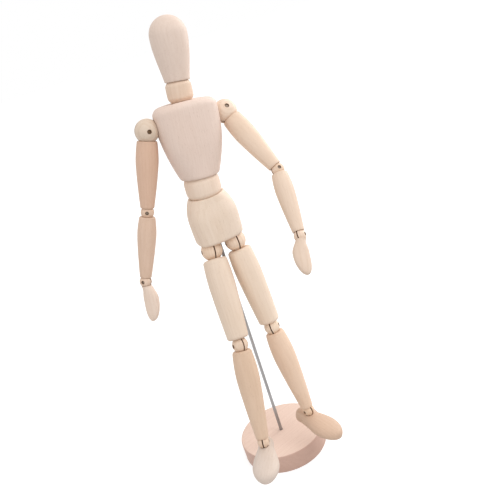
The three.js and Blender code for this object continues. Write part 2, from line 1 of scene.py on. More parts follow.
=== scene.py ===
import itertools
import json
import math

import bpy
import numpy as np
from mathutils import Matrix


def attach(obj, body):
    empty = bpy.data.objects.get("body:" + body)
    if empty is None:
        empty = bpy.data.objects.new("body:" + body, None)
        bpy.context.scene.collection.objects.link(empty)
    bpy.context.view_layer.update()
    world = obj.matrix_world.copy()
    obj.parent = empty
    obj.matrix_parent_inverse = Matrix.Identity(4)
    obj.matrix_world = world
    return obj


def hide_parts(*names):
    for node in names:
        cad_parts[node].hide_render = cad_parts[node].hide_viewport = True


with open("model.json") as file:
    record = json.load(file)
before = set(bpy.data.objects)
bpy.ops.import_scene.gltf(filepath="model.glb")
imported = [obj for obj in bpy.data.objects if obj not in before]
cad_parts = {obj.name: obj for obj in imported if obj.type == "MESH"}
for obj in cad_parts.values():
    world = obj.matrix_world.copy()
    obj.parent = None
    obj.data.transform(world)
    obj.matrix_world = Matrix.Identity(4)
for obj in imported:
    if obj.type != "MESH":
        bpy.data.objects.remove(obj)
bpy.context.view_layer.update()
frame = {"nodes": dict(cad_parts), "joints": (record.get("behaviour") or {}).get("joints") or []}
joints = {joint["name"]: joint for joint in frame["joints"]}
scene = bpy.context.scene

# Shapes are worked out in millimetres in the frame of their own piece, and put into the meshes in metres.
smoothColumns = 96
poleGap = 0.02  # radians that a ball's rings stop short of its poles, where a fan closes it
sharpAngle = 35  # degrees past which an edge between two faces isn't smoothed
fit = 0.3  # clearance between a ball and its seat
screwGap = 0.6  # from a cup down to the thread of a screw eye


def pointOf(name):
    return np.array(joints[name]["pos_m"]) * 1000


def axisOf(name, sign=1):
    axis = np.array(joints[name]["axis"])
    return sign * axis / np.linalg.norm(axis)


# A frame is a 4 x 4 matrix made from its origin and two of its axes. Z is the one given, or the cross product
# of the other two, and X and Y are squared to it.
def placeFrom(origin, x=None, y=None, z=None):
    if x is None:
        x = np.cross(y, z)
    if z is None:
        z = np.cross(x, y)
    y = np.cross(z, x)
    x = np.cross(y, z)
    place = np.eye(4)
    for column, axis in enumerate((x, y, z)):
        place[:3, column] = axis / np.linalg.norm(axis)
    place[:3, 3] = origin
    return place


def turnAbout(axis, degrees, vector):
    return np.array(Matrix.Rotation(math.radians(degrees), 3, axis.tolist())) @ vector


def moved(place, offset):
    shifted = place.copy()
    shifted[:3, 3] = place[:3, :3] @ np.array(offset) + place[:3, 3]
    return shifted


# Rings of points, one above the other, become a closed skin. Each ring joins the next with quads, and the
# first and last ring close with a fan round their middle, or join each other where the piece has a bore.
def addSkin(name, rings, place, bored=False):
    rows, columns = rings.shape[:2]
    index = np.arange(rows * columns).reshape(rows, columns)
    lower = index if bored else index[:-1]
    upper = np.roll(index, -1, axis=0) if bored else index[1:]
    quads = np.stack([lower, np.roll(lower, -1, axis=1), np.roll(upper, -1, axis=1), upper], axis=-1)
    faces = quads.reshape(-1, 4).tolist()
    points = rings.reshape(-1, 3)
    if not bored:
        points = np.vstack([points, rings[0].mean(axis=0), rings[-1].mean(axis=0)])
        bottom = np.full(columns, rows * columns)
        faces += np.stack([bottom, np.roll(index[0], -1), index[0]], axis=-1).tolist()
        faces += np.stack([bottom + 1, index[-1], np.roll(index[-1], -1)], axis=-1).tolist()
    world = (points @ place[:3, :3].T + place[:3, 3]) / 1000
    mesh = bpy.data.meshes.new(name)
    mesh.from_pydata(world.tolist(), [], faces)
    mesh.update()
    piece = bpy.data.objects.new(name, mesh)
    scene.collection.objects.link(piece)
    return piece


# Points on a circle about the axis: radius times sine and cosine of the angle from +Z.
def arcPoints(radius, start, end, steps, centre=0.0):
    angle = np.linspace(start, end, steps + 1)
    return np.stack([radius * np.sin(angle), centre + radius * np.cos(angle)], axis=-1)


# A profile of radius and height turned round the Z axis.
def turnedRings(profile, columns=smoothColumns):
    profile = np.asarray(profile, dtype=float)
    angle = np.linspace(0, 2 * np.pi, columns, endpoint=False)
    radius, height = profile[:, :1], profile[:, 1:]
    return np.stack([radius * np.cos(angle), radius * np.sin(angle), height + 0 * angle], axis=-1)


# Rings whose half width, half depth, squareness and shift are functions of height. Each is a superellipse:
# the unit circle pushed out by (|cos|^power + |sin|^power)^(-1/power), then stretched.
def carvedRings(heights, section, columns=smoothColumns):
    angle = np.linspace(0, 2 * np.pi, columns, endpoint=False)
    shape = {key: np.broadcast_to(value, heights.shape)[:, None] for key, value in section(heights).items()}
    cosine, sine = np.cos(angle), np.sin(angle)
    bulge = (np.abs(cosine) ** shape["power"] + np.abs(sine) ** shape["power"]) ** (-1 / shape["power"])
    x = cosine * bulge * shape["halfWidth"] + shape["shiftX"]
    y = sine * bulge * shape["halfDepth"] + shape["shiftY"]
    return np.stack([x, y, heights[:, None] + 0 * angle], axis=-1)


def swell(value, power):
    return np.sin(np.pi / 2 * np.clip(value, 0, 1)) ** power


def blend(first, last, share):
    return first + (last - first) * share


def easeInOut(value):
    t = np.clip(value, 0, 1)
    return t * t * (3 - 2 * t)


# Falls from 1 to 0 as a quarter of an oval.
def rounding(value, power=2.0):
    return np.sqrt(1 - np.clip(value, 0, 1) ** power)


# How far a rounded edge draws in at a distance from the face that it ends on.
def edgeInset(edge, distance):
    inside = np.clip(edge - distance, 0, edge)
    return edge - np.sqrt(edge**2 - inside**2)


# Heights between two faces, packed closely over the rounded edges.
def ringHeights(bottom, top, bottomEdge, topEdge, between):
    rise = bottom + bottomEdge * (1 - np.cos(np.linspace(0, np.pi / 2, 9)))
    fall = top - topEdge * (1 - np.cos(np.linspace(np.pi / 2, 0, 11)))
    middle = np.linspace(bottom + bottomEdge, top - topEdge, between + 2)[1:-1]
    return np.concatenate([rise, middle, fall])


def ballCutter(radius, centre, place):
    profile = arcPoints(radius, math.pi - poleGap, poleGap, 40)
    return addSkin("cutter", turnedRings(profile, 64), moved(place, centre))


def barCutter(radius, start, end, place):
    along = np.subtract(end, start)
    length = np.linalg.norm(along)
    side = [0.0, 1.0, 0.0] if abs(along[1]) < 0.9 * length else [1.0, 0.0, 0.0]
    local = placeFrom(start, y=np.cross(along, side), z=along / length)
    return addSkin("cutter", turnedRings([[radius, 0], [radius, length]], 32), place @ local)


def blockCutter(low, high, place):
    corners = np.array([[low[0], low[1]], [high[0], low[1]], [high[0], high[1]], [low[0], high[1]]])
    rings = np.stack([np.column_stack([corners, np.full(4, height)]) for height in (low[2], high[2])])
    return addSkin("cutter", rings, place)


# Cuts every cutter out of the piece and leaves it with a plain mesh.
def carve(piece, cutters):
    for cutter in cutters:
        cut = piece.modifiers.new("cut", "BOOLEAN")
        cut.object = cutter
        cut.operation = "DIFFERENCE"
        cut.solver = "EXACT"
    bpy.context.view_layer.update()
    depsgraph = bpy.context.evaluated_depsgraph_get()
    result = bpy.data.meshes.new_from_object(piece.evaluated_get(depsgraph))
    piece.modifiers.clear()
    piece.data = result
    for cutter in cutters:
        bpy.data.objects.remove(cutter)


def finishPiece(piece, body, nodes, material):
    piece.data.materials.clear()
    piece.data.materials.append(material)
    piece.data.shade_smooth()
    piece.data.set_sharp_from_angle(angle=math.radians(sharpAngle))
    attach(piece, body)
    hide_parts(*nodes)


# Shader helpers: a node with its inputs filled, where a value may be a socket to link from.
def addNode(tree, kind, inputs=None, **settings):
    node = tree.nodes.new(kind)
    for key, value in settings.items():
        setattr(node, key, value)
    for key, value in (inputs or {}).items():
        if isinstance(value, bpy.types.NodeSocket):
            tree.links.new(value, node.inputs[key])
        else:
            node.inputs[key].default_value = value
    return node


def mathNode(tree, operation, first, second=0.0, third=0.0):
    values = {0: first, 1: second}
    if operation == "MULTIPLY_ADD":
        values[2] = third
    return addNode(tree, "ShaderNodeMath", values, operation=operation).outputs[0]


def vectorNode(tree, operation, first, second=(0, 0, 0)):
    node = addNode(tree, "ShaderNodeVectorMath", {0: first, 1: second}, operation=operation)
    return node.outputs["Value" if operation == "LENGTH" else "Vector"]


def noiseNode(tree, vector, scale, detail):
    inputs = {"Vector": vector, "Scale": scale, "Detail": detail}
    return addNode(tree, "ShaderNodeTexNoise", inputs).outputs["Fac"]


def rangeNode(tree, value, low, high, toLow=0.0, toHigh=1.0):
    inputs = {"Value": value, "From Min": low, "From Max": high, "To Min": toLow, "To Max": toHigh}
    return addNode(tree, "ShaderNodeMapRange", inputs, interpolation_type="SMOOTHSTEP").outputs["Result"]


def mixNode(tree, factor, first, second, blend="MIX"):
    inputs = {"Factor": factor, 6: first, 7: second}
    return addNode(tree, "ShaderNodeMix", inputs, data_type="RGBA", blend_type=blend).outputs[2]


def addBump(tree, surface, height, strength, depth):
    bump = addNode(tree, "ShaderNodeBump", {"Height": height, "Strength": strength, "Distance": depth})
    tree.links.new(bump.outputs[0], surface.inputs["Normal"])


def newGroup(name, inputs, outputs):
    tree = bpy.data.node_groups.new(name, "ShaderNodeTree")
    for label, kind, value in inputs:
        socket = tree.interface.new_socket(label, in_out="INPUT", socket_type=kind)
        if value is not None:
            socket.default_value = value
    for label, kind in outputs:
        tree.interface.new_socket(label, in_out="OUTPUT", socket_type=kind)
    return tree, tree.nodes.new("NodeGroupInput"), tree.nodes.new("NodeGroupOutput")


# Sanded wood with its grain along Z: growth rings about a heart beside the piece, long fibres, short pores
# and slow changes of tone. The scales are in waves per millimetre across and along the grain.
grain = {
    "warp": (0.05, 0.05, 0.016),
    "warpBy": 14.0,
    "ringRise": 0.04,
    "fibre": (0.9, 0.9, 0.03),
    "fine": (5.5, 5.5, 0.2),
    "tone": (0.035, 0.035, 0.02),
    "pore": (4.2, 4.2, 0.42),
    "poreTone": (0.62, 0.52, 0.45, 1),
}


def makeWoodGroup():
    tree, given, put = newGroup(
        "sandedWood",
        [
            ("Vector", "NodeSocketVector", None),
            ("Light", "NodeSocketColor", (0.8, 0.6, 0.45, 1)),
            ("Dark", "NodeSocketColor", (0.6, 0.4, 0.25, 1)),
            ("Heart", "NodeSocketVector", (30, 14, 0)),
            ("Ring Width", "NodeSocketFloat", 2.6),
            ("Ring Depth", "NodeSocketFloat", 0.3),
            ("Pores", "NodeSocketFloat", 0.35),
            ("Seed", "NodeSocketFloat", 0.0),
        ],
        [("Color", "NodeSocketColor"), ("Roughness", "NodeSocketFloat"), ("Height", "NodeSocketFloat")],
    )
    vector, seed = given.outputs["Vector"], given.outputs["Seed"]
    aside = mathNode(tree, "MULTIPLY", seed, 1.7)
    shift = addNode(tree, "ShaderNodeCombineXYZ", {0: seed, 1: aside, 2: seed})
    local = vectorNode(tree, "ADD", vector, shift.outputs[0])

    def stretched(name):
        return vectorNode(tree, "MULTIPLY", local, grain[name])

    warp = addNode(tree, "ShaderNodeTexNoise", {"Vector": stretched("warp"), "Scale": 1.0, "Detail": 2.0})
    centred = vectorNode(tree, "SUBTRACT", warp.outputs["Color"], (0.5, 0.5, 0.5))
    bent = vectorNode(tree, "MULTIPLY", centred, (grain["warpBy"],) * 3)
    offset = vectorNode(tree, "ADD", vectorNode(tree, "ADD", vector, bent), given.outputs["Heart"])
    reach = vectorNode(tree, "LENGTH", vectorNode(tree, "MULTIPLY", offset, (1, 1, grain["ringRise"])))
    turn = mathNode(tree, "FRACT", mathNode(tree, "DIVIDE", reach, given.outputs["Ring Width"]))
    late = mathNode(tree, "MULTIPLY", rangeNode(tree, turn, 0.3, 0.92), rangeNode(tree, turn, 1.0, 0.92))

    fibre = noiseNode(tree, stretched("fibre"), 1.0, 5.0)
    fine = noiseNode(tree, stretched("fine"), 1.0, 2.0)
    tone = noiseNode(tree, stretched("tone"), 1.0, 2.0)
    pore = rangeNode(tree, noiseNode(tree, stretched("pore"), 1.0, 1.0), 0.66, 0.74)
    pore = mathNode(tree, "MULTIPLY", pore, given.outputs["Pores"])

    # How far the colour goes from light to dark: late wood, fibres and slow changes of tone add up.
    depth = mathNode(tree, "MULTIPLY", late, given.outputs["Ring Depth"])
    depth = mathNode(tree, "MULTIPLY_ADD", rangeNode(tree, fibre, 0.25, 0.75), 0.26, depth)
    depth = mathNode(tree, "MULTIPLY_ADD", fine, 0.1, depth)
    depth = mathNode(tree, "MULTIPLY_ADD", rangeNode(tree, tone, 0.3, 0.7), 0.4, depth)
    depth = mathNode(tree, "MAXIMUM", mathNode(tree, "SUBTRACT", depth, 0.06), 0.0)
    depth = mathNode(tree, "MINIMUM", depth, 1.0)
    colour = mixNode(tree, depth, given.outputs["Light"], given.outputs["Dark"])
    deeper = mixNode(tree, 1.0, given.outputs["Dark"], grain["poreTone"], "MULTIPLY")
    colour = mixNode(tree, pore, colour, deeper)
    tree.links.new(colour, put.inputs["Color"])
    tree.links.new(rangeNode(tree, fibre, 0.2, 0.8, 0.5, 0.66), put.inputs["Roughness"])
    height = mathNode(tree, "MULTIPLY_ADD", pore, -1.2, mathNode(tree, "MULTIPLY", fibre, 0.5))
    tree.links.new(mathNode(tree, "MULTIPLY_ADD", fine, 0.3, height), put.inputs["Height"])
    return tree


# Painted shade for a sawn ball: a darker brown in its cut, on the cut's lips and round its pin hole.
# X lies along the pin.
def makeCutShadeGroup():
    tree, given, put = newGroup(
        "sawCutShade",
        [
            ("Vector", "NodeSocketVector", None),
            ("Cut Half", "NodeSocketFloat", 0.75),
            ("Web Start", "NodeSocketFloat", 3.0),
            ("Hole", "NodeSocketFloat", 1.4),
        ],
        [("Mask", "NodeSocketFloat")],
    )
    x, y, z = addNode(tree, "ShaderNodeSeparateXYZ", {0: given.outputs["Vector"]}).outputs
    across = mathNode(tree, "SUBTRACT", mathNode(tree, "ABSOLUTE", x), given.outputs["Cut Half"])
    inCut = rangeNode(tree, across, 0.06, 0.0)
    beforeWeb = rangeNode(tree, mathNode(tree, "SUBTRACT", y, given.outputs["Web Start"]), 0.25, 0.0)
    slot = mathNode(tree, "MULTIPLY", inCut, beforeWeb)
    squares = mathNode(tree, "ADD", mathNode(tree, "MULTIPLY", y, y), mathNode(tree, "MULTIPLY", z, z))
    fromPin = mathNode(tree, "SQRT", squares)
    hole = rangeNode(tree, mathNode(tree, "SUBTRACT", fromPin, given.outputs["Hole"]), 0.22, 0.0)
    tree.links.new(mathNode(tree, "MAXIMUM", slot, hole), put.inputs["Mask"])
    return tree


# Handling grime and painted shade at the joints: a mask that is 1 near two heights on the piece,
# broken up by noise.
def makeGrimeAndShadeGroup():
    tree, given, put = newGroup(
        "grimeAndShadeEnds",
        [
            ("Vector", "NodeSocketVector", None),
            ("Low", "NodeSocketFloat", 0.0),
            ("High", "NodeSocketFloat", 50.0),
            ("Width", "NodeSocketFloat", 3.0),
        ],
        [("Mask", "NodeSocketFloat")],
    )
    z = addNode(tree, "ShaderNodeSeparateXYZ", {0: given.outputs["Vector"]}).outputs[2]
    width = given.outputs["Width"]
    fromLow = mathNode(tree, "DIVIDE", mathNode(tree, "SUBTRACT", z, given.outputs["Low"]), width)
    fromHigh = mathNode(tree, "DIVIDE", mathNode(tree, "SUBTRACT", given.outputs["High"], z), width)
    near = mathNode(tree, "MAXIMUM", rangeNode(tree, fromLow, 1.0, 0.0), rangeNode(tree, fromHigh, 1.0, 0.0))
    patch = noiseNode(tree, given.outputs["Vector"], 0.35, 3.0)
    broken = rangeNode(tree, patch, 0.3, 0.7, 0.35, 1.0)
    tree.links.new(mathNode(tree, "MULTIPLY", near, broken), put.inputs["Mask"])
    return tree


woodGroup = makeWoodGroup()
cutShadeGroup = makeCutShadeGroup()
grimeAndShadeGroup = makeGrimeAndShadeGroup()

woods = {
    "pale_wood": {"light": (0.83, 0.69, 0.60, 1), "dark": (0.74, 0.59, 0.495, 1)},
    "limb_wood": {"light": (0.845, 0.67, 0.52, 1), "dark": (0.745, 0.56, 0.405, 1)},
    "base_wood": {"light": (0.81, 0.62, 0.52, 1), "dark": (0.72, 0.515, 0.415, 1)},
}
marks = {
    # painted shade in a ball's saw cut and round its pin hole
    "cutShade": (0.42, 0.255, 0.16, 1),
    "cutShadeShare": 0.86,
    # handling grime and painted shade near the joints
    "grimeAndShade": (0.50, 0.35, 0.25, 1),
    "grimeAndShadeShare": 0.28,
    "bump": 0.35,
    "bumpDepth": 0.00012,
}
woodSeeds = itertools.count(1)


def tinted(colour, tint):
    return [min(value * share, 0.93) for value, share in zip(colour, tint)] + [1]


def groupNode(tree, group, inputs):
    return addNode(tree, "ShaderNodeGroup", inputs, node_tree=group).outputs


# Wood for one piece. fibres is the frame whose Z runs along the fibres, in millimetres, and tint multiplies
# the colours of its slot, partly the piece's own tone and partly painted light and shade. ends gives the two
# heights near the joints and their width, where handling grime and painted shade darken the wood, and ball
# tells of a saw cut, whose cut and pin hole get painted shade.
def makeWood(name, slot, fibres, tint, ends=None, heart=None, rings=0.16, pores=0.3, gloss=0.36, ball=None):
    material = bpy.data.materials.new(name)
    material.use_nodes = True
    tree = material.node_tree
    surface = tree.nodes["Principled BSDF"]
    coordinates = tree.nodes.new("ShaderNodeTexCoord").outputs["Object"]

    def mapped(place):
        inputs = {"Vector": coordinates, "Location": (place[:3, 3] / 1000).tolist(), "Scale": (0.001,) * 3}
        inputs["Rotation"] = Matrix(place[:3, :3].tolist()).to_euler("XYZ")
        return addNode(tree, "ShaderNodeMapping", inputs, vector_type="TEXTURE").outputs[0]

    seed = next(woodSeeds)
    along = mapped(fibres)
    spin = seed * 2.4
    heart = heart or (34 * math.cos(spin), 34 * math.sin(spin), 9.0 * seed)
    wood = groupNode(
        tree,
        woodGroup,
        {
            "Vector": along,
            "Light": tinted(woods[slot]["light"], tint),
            "Dark": tinted(woods[slot]["dark"], tint),
            "Heart": heart,
            "Ring Width": 2.1 + 0.5 * math.sin(seed * 1.3),
            "Ring Depth": rings,
            "Pores": pores,
            "Seed": seed * 13.7,
        },
    )
    colour = wood["Color"]
    # Handling grime and painted shade near the joints, where the pieces meet.
    if ends:
        low, high, width = ends
        grimeAndShade = groupNode(tree, grimeAndShadeGroup, {"Vector": along, "Low": low, "High": high, "Width": width})
        share = mathNode(tree, "MULTIPLY", grimeAndShade["Mask"], marks["grimeAndShadeShare"])
        colour = mixNode(tree, share, colour, marks["grimeAndShade"])
    # Painted shade: a darker brown in the saw cut, on its lips and round the pin hole.
    if ball:
        cutShade = groupNode(
            tree,
            cutShadeGroup,
            {
                "Vector": mapped(ball["place"]),
                "Cut Half": ball["cut"] / 2,
                "Web Start": ball["web"],
                "Hole": ball["hole"],
            },
        )
        share = mathNode(tree, "MULTIPLY", cutShade["Mask"], marks["cutShadeShare"])
        colour = mixNode(tree, share, colour, marks["cutShade"])
    tree.links.new(colour, surface.inputs["Base Color"])
    tree.links.new(wood["Roughness"], surface.inputs["Roughness"])
    addBump(tree, surface, wood["Height"], marks["bump"], marks["bumpDepth"])
    surface.inputs["Specular IOR Level"].default_value = gloss
    return material


# The turned side of a disc is painted browner than the face: partly its end grain, partly painted shade.
def paintSideGrainAndShade(material, radius, side, amount):
    tree = material.node_tree
    surface = tree.nodes["Principled BSDF"]
    face = surface.inputs["Base Color"].links[0].from_socket
    coordinates = tree.nodes.new("ShaderNodeTexCoord").outputs["Object"]
    reach = vectorNode(tree, "LENGTH", vectorNode(tree, "MULTIPLY", coordinates, (1000, 1000, 0)))
    edge = mathNode(tree, "MULTIPLY", rangeNode(tree, reach, radius - 0.15, radius + 0.3), amount)
    grainAndShade = mixNode(tree, 1.0, face, side, "MULTIPLY")
    tree.links.new(mixNode(tree, edge, face, grainAndShade), surface.inputs["Base Color"])


# Drawn steel: fine scratches along the bar, and duller patches. The scales are in waves per metre.
scratches = {"fine": (9000, 9000, 120), "patch": (500, 500, 90), "bump": 0.25, "bumpDepth": 0.00003}


def makeSteel(name, colour, roughness):
    material = bpy.data.materials.new(name)
    material.use_nodes = True
    tree = material.node_tree
    surface = tree.nodes["Principled BSDF"]
    coordinates = tree.nodes.new("ShaderNodeTexCoord").outputs["Object"]
    scratch = noiseNode(tree, vectorNode(tree, "MULTIPLY", coordinates, scratches["fine"]), 1.0, 3.0)
    patch = noiseNode(tree, vectorNode(tree, "MULTIPLY", coordinates, scratches["patch"]), 1.0, 4.0)
    worn = rangeNode(tree, patch, 0.4, 0.7)
    darker = [value * 0.72 for value in colour[:3]] + [1]
    tone = mixNode(tree, mathNode(tree, "MULTIPLY", worn, 0.5), colour, darker)
    tree.links.new(tone, surface.inputs["Base Color"])
    dull = mathNode(tree, "MULTIPLY_ADD", scratch, 0.14, roughness - 0.06)
    tree.links.new(mathNode(tree, "MULTIPLY_ADD", worn, 0.12, dull), surface.inputs["Roughness"])
    addBump(tree, surface, scratch, scratches["bump"], scratches["bumpDepth"])
    surface.inputs["Metallic"].default_value = 1.0
    return material


rodSteel = makeSteel("rodSteel", (0.36, 0.355, 0.36, 1), 0.3)
wireSteel = makeSteel("wireSteel", (0.26, 0.18, 0.125, 1), 0.6)
pinSteel = makeSteel("pinSteel", (0.24, 0.185, 0.145, 1), 0.5)
# Painted shade: the right shoulder's pin is a dark brown that stands for the shade in its deep hole.
shadePinSteel = makeSteel("shadePinSteel", (0.16, 0.10, 0.06, 1), 0.6)
print("materials ready")

worldFrame = np.eye(4)
sideGrain = placeFrom([0, 0, 0], x=np.array([0.0, 0.0, 1.0]), z=np.array([0.96, 0.28, 0.0]))

rodHole = 1.25
base = {
    "radius": 32.5,
    "height": 14.5,
    "edge": 0.7,
    "chamfer": 0.25,
    "socketFloor": 3.5,
    # partly the base's own tone, partly painted light and shade
    "tint": (0.97, 0.95, 0.94),
    "heart": (18, 60, 0),
    "faceEnd": 32.0,
    "sideGrainAndShade": (0.78, 0.68, 0.66, 1),
}
edgeCentre = [base["radius"] - base["edge"], 0]
lowerEdge = arcPoints(base["edge"], math.pi, math.pi / 2, 6, base["edge"]) + edgeCentre
upperEdge = arcPoints(base["edge"], math.pi / 2, 0, 6, base["height"] - base["edge"]) + edgeCentre
well = [
    [rodHole + base["chamfer"], base["height"]],
    [rodHole, base["height"] - base["chamfer"]],
    [rodHole, base["socketFloor"]],
]
faceRings = [[radius, 0.0] for radius in (6, 14, 22)]
topRings = [[radius, base["height"]] for radius in (24, 16, 8)]
baseProfile = np.vstack([faceRings, lowerEdge, upperEdge, topRings, well])
basePiece = addSkin("standBase", turnedRings(baseProfile, 160), worldFrame)
baseWood = makeWood(
    "baseWood", "base_wood", sideGrain, base["tint"], heart=base["heart"], rings=0.2, pores=0.4, gloss=0.6
)
# Painted shade on the base's turned side, with its end grain.
paintSideGrainAndShade(baseWood, base["faceEnd"], base["sideGrainAndShade"], 0.9)
finishPiece(basePiece, "base", ["base"], baseWood)

rod = {"radius": 1.2, "bottom": 3.8, "top": 195.3, "chamfer": 0.25}
rodProfile = [
    [rod["radius"] - rod["chamfer"], rod["bottom"]],
    [rod["radius"], rod["bottom"] + rod["chamfer"]],
    [rod["radius"], (rod["bottom"] + rod["top"]) / 2],
    [rod["radius"], rod["top"] - rod["chamfer"]],
    [rod["radius"] - rod["chamfer"], rod["top"]],
]
rodPiece = addSkin("standRod", turnedRings(rodProfile, 40), worldFrame)
finishPiece(rodPiece, "base", ["support_rod"], rodSteel)
print("stand made")

# Trunk, neck and head. The bores end at heights above the lower face of each block.
trunkBore = 2.6
pelvis = {
    "height": 32.5,
    "halfWidth": 16.9,
    "topRadius": 12.3,
    "halfDepth": 12.2,
    "edge": 2.4,
    "cap": 0.3,
    "forward": 1.2,
    "widestBelowTop": 16.0,
    "fall": 0.6,
    "squareness": 0.9,
    "offRod": (0.9, -1.6, 0.0),
    "rodDepth": 14.0,
    "boreFloor": 17.95,
}
waist = {"height": 12.7, "seat": 12.6, "radius": 12.1}
chest = {
    "height": 50.3,
    "halfWidth": 21.2,
    "bottomRadius": 12.9,
    "halfDepth": 13.4,
    "shoulderHeight": 40.0,
    "forward": 1.8,
    "squareness": 0.8,
    "bottomEdge": 1.3,
    "topEdge": 4.8,
    "crown": 1.4,
    "crownStart": 25.0,
    "crossBore": 2.0,
    "lowerBoreTop": 18.55,
    "upperBoreFloor": 41.45,
}
neck = {"height": 12.5, "seat": 9.3, "radius": 8.5}
head = {"length": 40.75, "radius": 12.2, "widest": 28.5, "bottom": 8.2, "boreTop": 21.6}
# Colour multipliers per piece: partly each piece's own tone, partly painted light and shade.
trunkTints = {
    "pelvis": (1.03, 1.08, 1.16),
    "waist": (1.01, 1.03, 1.09),
    "chest": (0.97, 0.94, 0.94),
    "neck": (0.94, 0.92, 0.94),
    "head": (0.92, 0.90, 0.89),
}
up = np.array([0.0, 0.0, 1.0])
right = np.array([1.0, 0.0, 0.0])

pelvisPlace = placeFrom(pointOf("figure_swivel") + pelvis["offRod"], x=right, z=up)
waistCentre = pointOf("waist_lean")
chestUp = axisOf("chest_turn")
chestAcross = axisOf("neck_nod")
chestPlace = placeFrom(waistCentre + chestUp * waist["height"] / 2, x=chestAcross, z=chestUp)
waistPlace = placeFrom(waistCentre, x=right, z=chestUp + up)
neckCentre = pointOf("neck_nod")
headUp = axisOf("head_turn")
neckPlace = placeFrom(neckCentre, x=chestAcross, z=headUp + chestUp)
headPlace = placeFrom(neckCentre, x=chestAcross, z=headUp)
waistCup = waist["seat"] + fit
neckCup = neck["seat"] + fit


def pelvisSection(z):
    down = pelvis["height"] - z
    grow = swell(down / pelvis["widestBelowTop"], 0.8)
    below = np.clip((down - pelvis["widestBelowTop"]) / (pelvis["height"] - pelvis["widestBelowTop"]), 0, 1)
    fall = pelvis["fall"] * below**2
    inset = edgeInset(pelvis["edge"], z) + edgeInset(pelvis["cap"], down)
    return {
        "halfWidth": blend(pelvis["topRadius"], pelvis["halfWidth"], grow) - fall - inset,
        "halfDepth": pelvis["halfDepth"] - fall - inset,
        "power": 2 + pelvis["squareness"] * grow,
        "shiftX": 0.0,
        "shiftY": -pelvis["forward"] * easeInOut(down / pelvis["widestBelowTop"]),
    }


def chestSection(z):
    rise = np.clip(z / chest["shoulderHeight"], 0, 1)
    grow = swell(rise, 0.9)
    inset = edgeInset(chest["bottomEdge"], z) + edgeInset(chest["topEdge"], chest["height"] - z)
    return {
        "halfWidth": blend(chest["bottomRadius"], chest["halfWidth"], grow) - inset,
        "halfDepth": blend(chest["bottomRadius"], chest["halfDepth"], grow) - inset,
        "power": 2 + chest["squareness"] * (1 - (1 - rise) ** 3),
        "shiftX": 0.0,
        "shiftY": -chest["forward"] * easeInOut(z / chest["shoulderHeight"] * 1.6),
    }


# A barrel between two ball seats: seat arc, side, seat arc, and a bore through its middle. Its radius falls
# towards the ends as a square, by the share given as bulge.
def seatBarrel(shape):
    bulge = 0.03
    half = shape["height"] / 2
    rim = math.acos(half / shape["seat"])
    bore = math.asin(trunkBore / shape["seat"])
    share = np.linspace(-0.86, 0.86, 25)
    height = share * half
    radius = np.minimum(shape["radius"] * (1 - bulge * share**2), np.sqrt(shape["seat"] ** 2 - height**2))
    lower = arcPoints(shape["seat"], math.pi - bore, math.pi - rim, 12)
    upper = arcPoints(shape["seat"], rim, bore, 12)
    return turnedRings(np.vstack([lower, np.stack([radius, height], axis=-1), upper]))


# A bar cutter along Z at a place across the piece.
def uprightBore(radius, across, bottom, top, place):
    return barCutter(radius, (*across, bottom), (*across, top), place)


hips = {"span": 9.0, "forward": 3.0, "drop": 5.0, "radius": 7.4, "bore": 2.3, "boreDepth": 9.0}
pelvisHeights = ringHeights(0, pelvis["height"], pelvis["edge"], pelvis["cap"], 44)
pelvisPiece = addSkin("hipBlock", carvedRings(pelvisHeights, pelvisSection, 128), pelvisPlace)
rodAt = (-pelvis["offRod"][0], -pelvis["offRod"][1])
pelvisCutters = [
    ballCutter(waistCup, (0, 0, pelvis["height"] + waist["height"] / 2), pelvisPlace),
    uprightBore(trunkBore, (0, 0), pelvis["boreFloor"], 30, pelvisPlace),
    uprightBore(rodHole, rodAt, -1, pelvis["rodDepth"], pelvisPlace),
]
hipBoreTop = hips["radius"] + fit - hips["drop"] + hips["boreDepth"]
for side in (-1, 1):
    hipAcross = (side * hips["span"], -hips["forward"])
    pelvisCutters.append(ballCutter(hips["radius"] + fit, (*hipAcross, -hips["drop"]), pelvisPlace))
    pelvisCutters.append(uprightBore(hips["bore"], hipAcross, 1, hipBoreTop, pelvisPlace))
carve(pelvisPiece, pelvisCutters)
pelvisWood = makeWood(
    "hipBlockWood", "limb_wood", pelvisPlace, trunkTints["pelvis"], ends=(0, 40, 3), rings=0.24, pores=0.45
)
finishPiece(pelvisPiece, "pelvis", ["pelvis"], pelvisWood)

waistPiece = addSkin("waistBarrel", seatBarrel(waist), waistPlace, bored=True)
waistWood = makeWood("waistBarrelWood", "limb_wood", waistPlace, trunkTints["waist"], ends=(-6.5, 6.5, 2))
finishPiece(waistPiece, "waist", ["waist"], waistWood)

shoulders = {"span": 26.9, "height": 37.2, "radius": 8.0}
chestHeights = ringHeights(0, chest["height"], chest["bottomEdge"], chest["topEdge"], 60)
chestRings = carvedRings(chestHeights, chestSection, 160)
